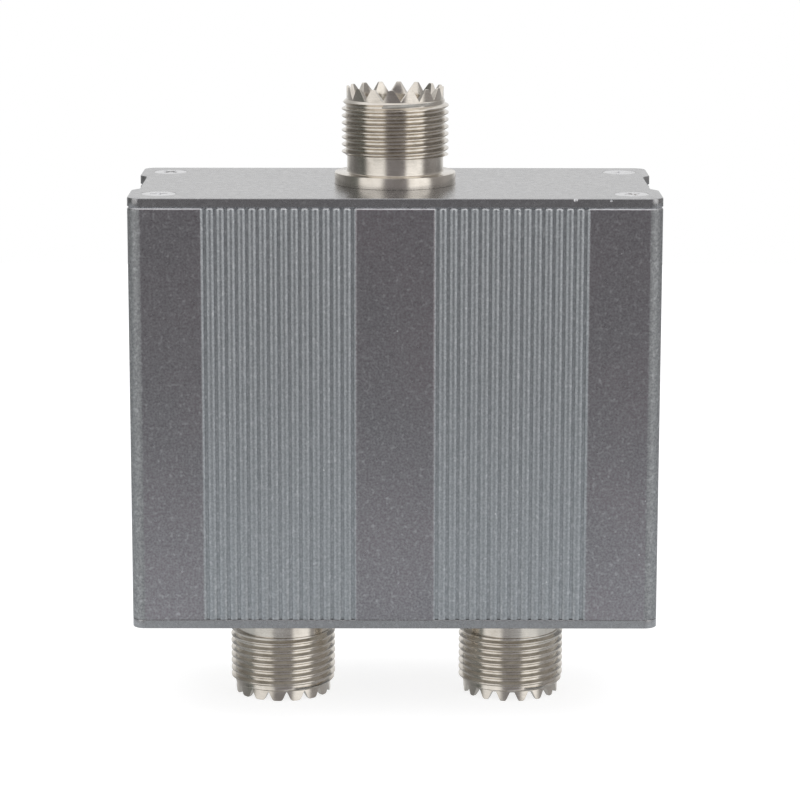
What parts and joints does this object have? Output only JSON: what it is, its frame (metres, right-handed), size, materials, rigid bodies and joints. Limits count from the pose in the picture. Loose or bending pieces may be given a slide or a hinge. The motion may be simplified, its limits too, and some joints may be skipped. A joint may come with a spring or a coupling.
{
  "type": "antenna duplexer",
  "caption": "Passive antenna duplexer in a ribbed two-part metal housing, with a coaxial jack on top, a pair below, and a low-pass and a high-pass filter between them.",
  "frame": {"origin": "centre of the housing, which is the centre of the whole box with its jacks", "axes": "+Z along the antenna jack's axis, away from the housing; +Y to the back face; +X to the right seen from the front, towards the high band jack"},
  "size_m": [0.0772, 0.0364, 0.0926],
  "materials": {
    "housing": "fine blasted grey anodised",
    "plate": "satin",
    "steel": "plain",
    "nickel": "nickel plated",
    "contact": "silver plated",
    "insulator": "waxy white",
    "tinned": "tinned",
    "board": "woven glass laminate",
    "copper": "bare copper",
    "enamelled_copper": "clear enamel",
    "ceramic": "dipped"
  },
  "bodies": {
    "root": {"front_shell": "housing", "back_shell": "housing", "top_plate": "plate", "bottom_plate": "plate", "top_plate_screws": "steel", "bottom_plate_screws": "steel", "antenna_jack_shell": "nickel", "antenna_jack_insulator": "insulator", "antenna_jack_contact": "contact", "antenna_jack_lug": "tinned", "antenna_jack_nut": "nickel", "low_band_jack_shell": "nickel", "low_band_jack_insulator": "insulator", "low_band_jack_contact": "contact", "low_band_jack_lug": "tinned", "low_band_jack_nut": "nickel", "high_band_jack_shell": "nickel", "high_band_jack_insulator": "insulator", "high_band_jack_contact": "contact", "high_band_jack_lug": "tinned", "high_band_jack_nut": "nickel", "circuit_board": "board", "copper_tracks": "copper", "earth_foil": "copper", "earth_leads": "tinned", "filter_screen": "tinned", "low_pass_coil_in": "enamelled_copper", "low_pass_coil_middle": "enamelled_copper", "low_pass_coil_out": "enamelled_copper", "high_pass_coil_in": "enamelled_copper", "high_pass_coil_out": "enamelled_copper", "shunt_capacitors": "ceramic", "series_capacitors": "ceramic"}
  },
  "joints": []
}
